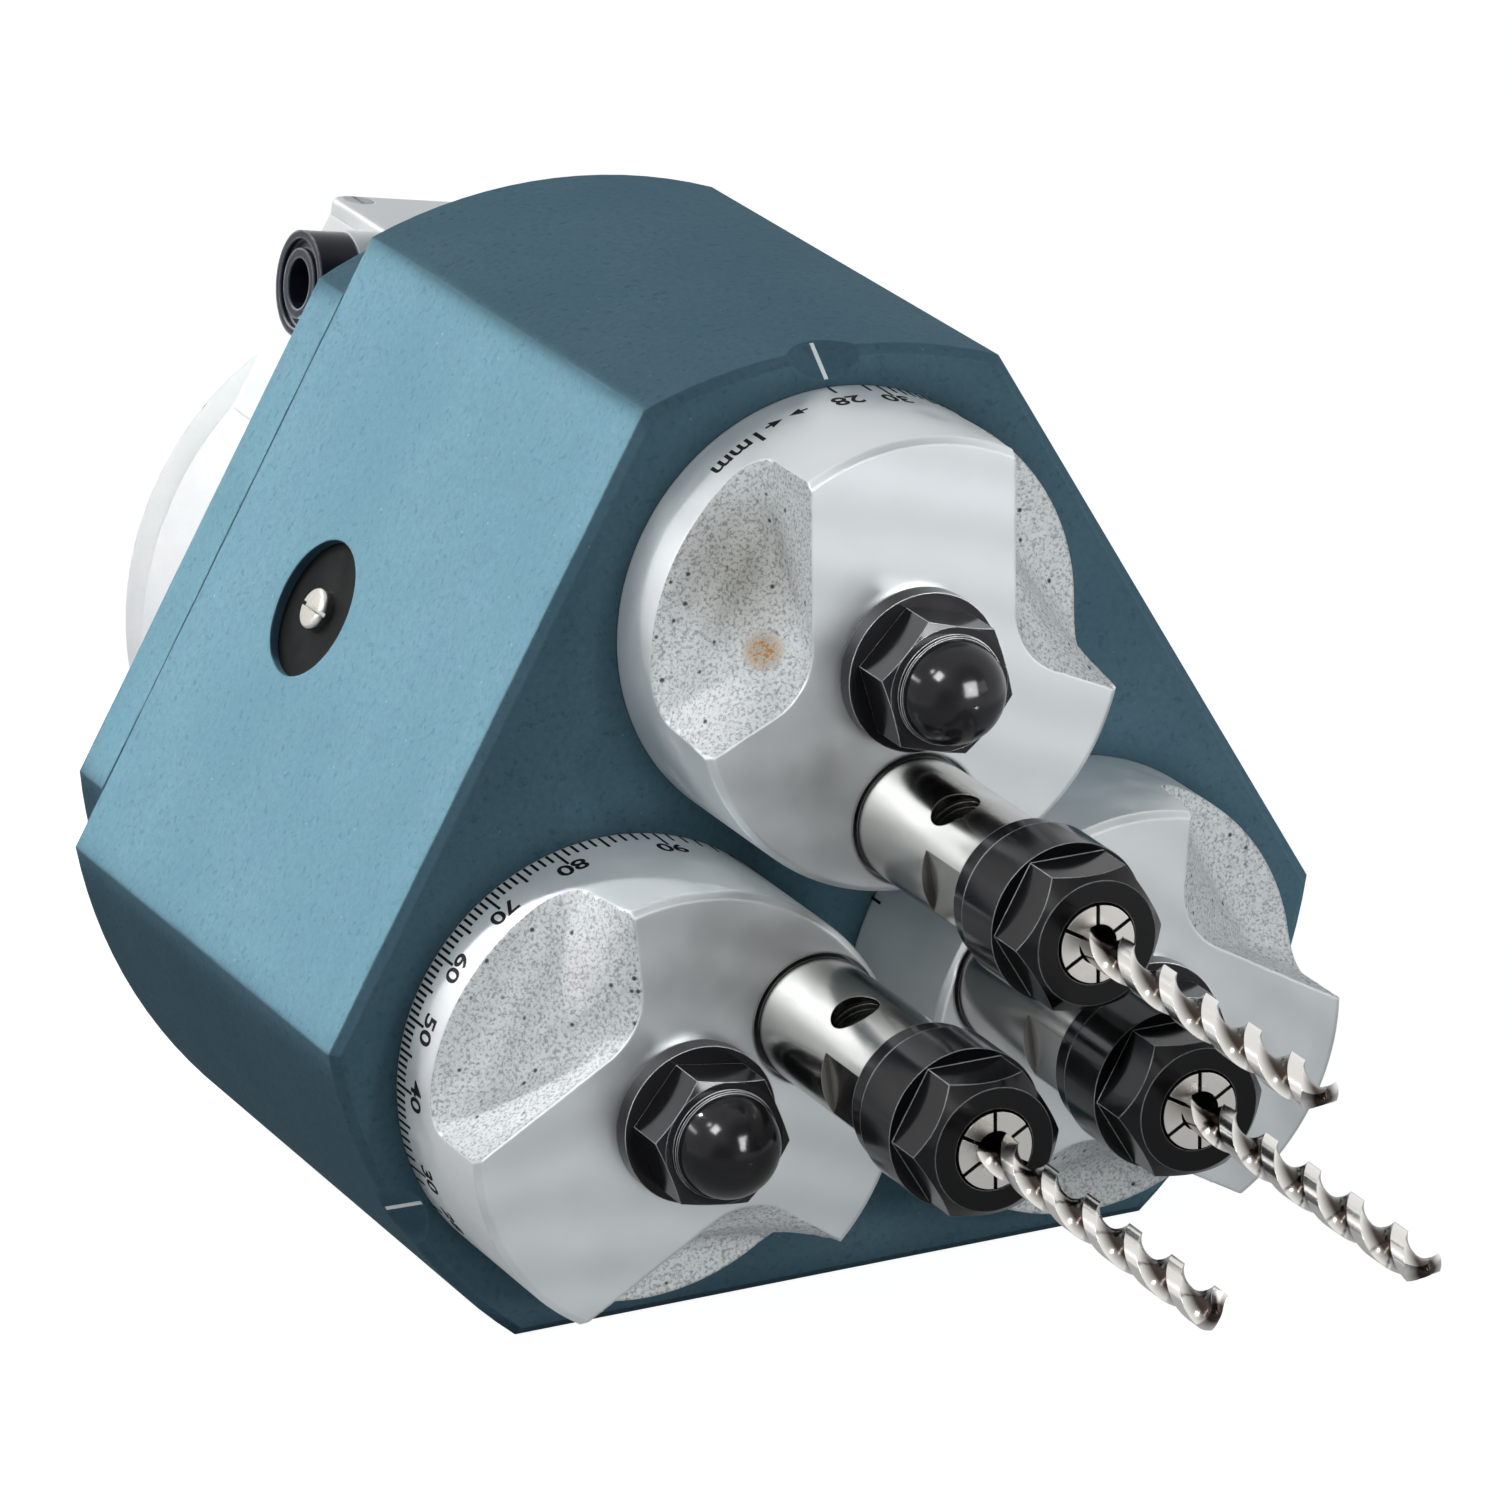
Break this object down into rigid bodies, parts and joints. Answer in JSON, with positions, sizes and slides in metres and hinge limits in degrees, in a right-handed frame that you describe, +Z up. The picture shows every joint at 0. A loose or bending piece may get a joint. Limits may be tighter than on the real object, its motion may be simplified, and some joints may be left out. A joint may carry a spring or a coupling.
{
  "type": "multi-spindle boring head",
  "caption": "Motor-driven boring head: a three-sided housing with clamped swivel discs, each carrying a geared spindle, collet chuck and twist drill at a spacing set on its scale.",
  "frame": {"origin": "middle of the bottom flat, half way along the housing body", "axes": "+X to the right seen from the drills, +Y to the rear along the spindles, towards the motor, +Z up"},
  "size_m": [0.138, 0.264, 0.124],
  "materials": {
    "housing_paint": "fine-textured petrol blue paint",
    "cast_grey": "machined and silver-painted casting",
    "black_nut": "glossy black oxide",
    "ground_steel": "ground",
    "collet_steel": "ground",
    "drill_steel": "polished",
    "shaft_steel": "turned",
    "gear_steel": "hobbed",
    "bearing_steel": "polished",
    "bronze": "turned",
    "black_screw": "black oxide",
    "bright_screw": "zinc plated",
    "motor_white": "smooth white paint",
    "black_plastic": "moulded",
    "hub_aluminium": "turned",
    "spider_rubber": "moulded",
    "core_steel": "laminated"
  },
  "bodies": {
    "housing": {"housing_body": "housing_paint", "bearing_carrier": "hub_aluminium", "carrier_screws": "black_screw", "rear_cover": "housing_paint", "cover_screws": "black_screw", "side_plug": "black_plastic", "side_plug_screw": "bright_screw", "lock_studs": "shaft_steel", "lock_washers": "black_nut", "idler_bushes": "bronze", "drive_bearings": "bearing_steel", "motor_front_shield": "motor_white", "motor_frame": "motor_white", "motor_rear_shield": "motor_white", "stator": "core_steel", "motor_bearings": "bearing_steel", "motor_bolts": "black_screw", "terminal_box": "motor_white", "terminal_lid": "motor_white", "lid_screws": "bright_screw", "cable_gland": "black_plastic"},
    "drive": {"drive_shaft": "shaft_steel", "drive_gear": "gear_steel", "coupling_hub_front": "hub_aluminium", "coupling_spider": "spider_rubber", "coupling_hub_rear": "hub_aluminium", "motor_rotor": "core_steel"},
    "idler_1": {"idler_gear_1": "gear_steel"},
    "disc_1": {"swivel_disc_1": "cast_grey", "spindle_bearings_1": "bearing_steel"},
    "nut_1": {"lock_nut_1": "black_nut"},
    "ring_1": {"thrust_ring_1": "bronze"},
    "spindle_1": {"spindle_1": "shaft_steel", "chuck_body_1": "ground_steel", "set_screw_1": "black_screw", "collet_1": "collet_steel", "drill_bit_1": "drill_steel"},
    "collet_nut_1": {"collet_nut_1": "black_nut"},
    "idler_2": {"idler_gear_2": "gear_steel"},
    "disc_2": {"swivel_disc_2": "cast_grey", "spindle_bearings_2": "bearing_steel"},
    "nut_2": {"lock_nut_2": "black_nut"},
    "ring_2": {"thrust_ring_2": "bronze"},
    "spindle_2": {"spindle_2": "shaft_steel", "chuck_body_2": "ground_steel", "set_screw_2": "black_screw", "collet_2": "collet_steel", "drill_bit_2": "drill_steel"},
    "collet_nut_2": {"collet_nut_2": "black_nut"},
    "idler_3": {"idler_gear_3": "gear_steel"},
    "disc_3": {"swivel_disc_3": "cast_grey", "spindle_bearings_3": "bearing_steel"},
    "nut_3": {"lock_nut_3": "black_nut"},
    "ring_3": {"thrust_ring_3": "bronze"},
    "spindle_3": {"spindle_3": "shaft_steel", "chuck_body_3": "ground_steel", "set_screw_3": "black_screw", "collet_3": "collet_steel", "drill_bit_3": "drill_steel"},
    "collet_nut_3": {"collet_nut_3": "black_nut"}
  },
  "joints": [
    {"name": "drive_spin", "type": "hinge", "parent": "housing", "child": "drive", "pos_m": [0, -0.0425, 0.054], "axis": [0, -1, 0], "continuous": true},
    {"name": "idler_spin_1", "type": "hinge", "parent": "housing", "child": "idler_1", "pos_m": [0, -0.0425, 0.09], "axis": [0, -1, 0], "continuous": true},
    {"name": "disc_swing_1", "type": "hinge", "parent": "housing", "child": "disc_1", "pos_m": [0, -0.0425, 0.09], "axis": [0, -1, 0], "range_deg": [0, 180]},
    {"name": "lock_nut_turn_1", "type": "hinge", "parent": "housing", "child": "nut_1", "pos_m": [0, -0.0425, 0.09], "axis": [0, -1, 0], "range_deg": [0, 180]},
    {"name": "ring_roll_1", "type": "hinge", "parent": "disc_1", "child": "ring_1", "pos_m": [0, -0.0425, 0.07], "axis": [0, -1, 0], "range_deg": [0, 420]},
    {"name": "spindle_spin_1", "type": "hinge", "parent": "ring_1", "child": "spindle_1", "pos_m": [0, -0.0425, 0.07], "axis": [0, -1, 0], "continuous": true},
    {"name": "collet_nut_turn_1", "type": "hinge", "parent": "spindle_1", "child": "collet_nut_1", "pos_m": [0, -0.0425, 0.07], "axis": [0, -1, 0], "range_deg": [0, 180]},
    {"name": "idler_spin_2", "type": "hinge", "parent": "housing", "child": "idler_2", "pos_m": [-0.03118, -0.0425, 0.036], "axis": [0, -1, 0], "continuous": true},
    {"name": "disc_swing_2", "type": "hinge", "parent": "housing", "child": "disc_2", "pos_m": [-0.03118, -0.0425, 0.036], "axis": [0, -1, 0], "range_deg": [0, 180]},
    {"name": "lock_nut_turn_2", "type": "hinge", "parent": "housing", "child": "nut_2", "pos_m": [-0.03118, -0.0425, 0.036], "axis": [0, -1, 0], "range_deg": [0, 180]},
    {"name": "ring_roll_2", "type": "hinge", "parent": "disc_2", "child": "ring_2", "pos_m": [-0.01386, -0.0425, 0.046], "axis": [0, -1, 0], "range_deg": [0, 420]},
    {"name": "spindle_spin_2", "type": "hinge", "parent": "ring_2", "child": "spindle_2", "pos_m": [-0.01386, -0.0425, 0.046], "axis": [0, -1, 0], "continuous": true},
    {"name": "collet_nut_turn_2", "type": "hinge", "parent": "spindle_2", "child": "collet_nut_2", "pos_m": [-0.01386, -0.0425, 0.046], "axis": [0, -1, 0], "range_deg": [0, 180]},
    {"name": "idler_spin_3", "type": "hinge", "parent": "housing", "child": "idler_3", "pos_m": [0.03118, -0.0425, 0.036], "axis": [0, -1, 0], "continuous": true},
    {"name": "disc_swing_3", "type": "hinge", "parent": "housing", "child": "disc_3", "pos_m": [0.03118, -0.0425, 0.036], "axis": [0, -1, 0], "range_deg": [0, 180]},
    {"name": "lock_nut_turn_3", "type": "hinge", "parent": "housing", "child": "nut_3", "pos_m": [0.03118, -0.0425, 0.036], "axis": [0, -1, 0], "range_deg": [0, 180]},
    {"name": "ring_roll_3", "type": "hinge", "parent": "disc_3", "child": "ring_3", "pos_m": [0.01386, -0.0425, 0.046], "axis": [0, -1, 0], "range_deg": [0, 420]},
    {"name": "spindle_spin_3", "type": "hinge", "parent": "ring_3", "child": "spindle_3", "pos_m": [0.01386, -0.0425, 0.046], "axis": [0, -1, 0], "continuous": true},
    {"name": "collet_nut_turn_3", "type": "hinge", "parent": "spindle_3", "child": "collet_nut_3", "pos_m": [0.01386, -0.0425, 0.046], "axis": [0, -1, 0], "range_deg": [0, 180]}
  ],
  "couplings": [
    {"joint": "idler_spin_1", "follows": "drive_spin", "ratio": -1.5714},
    {"joint": "ring_roll_1", "follows": "disc_swing_1", "ratio": 2.3333},
    {"joint": "spindle_spin_1", "follows": "drive_spin", "ratio": 3.6667},
    {"joint": "idler_spin_2", "follows": "drive_spin", "ratio": -1.5714},
    {"joint": "ring_roll_2", "follows": "disc_swing_2", "ratio": 2.3333},
    {"joint": "spindle_spin_2", "follows": "drive_spin", "ratio": 3.6667},
    {"joint": "idler_spin_3", "follows": "drive_spin", "ratio": -1.5714},
    {"joint": "ring_roll_3", "follows": "disc_swing_3", "ratio": 2.3333},
    {"joint": "spindle_spin_3", "follows": "drive_spin", "ratio": 3.6667}
  ]
}
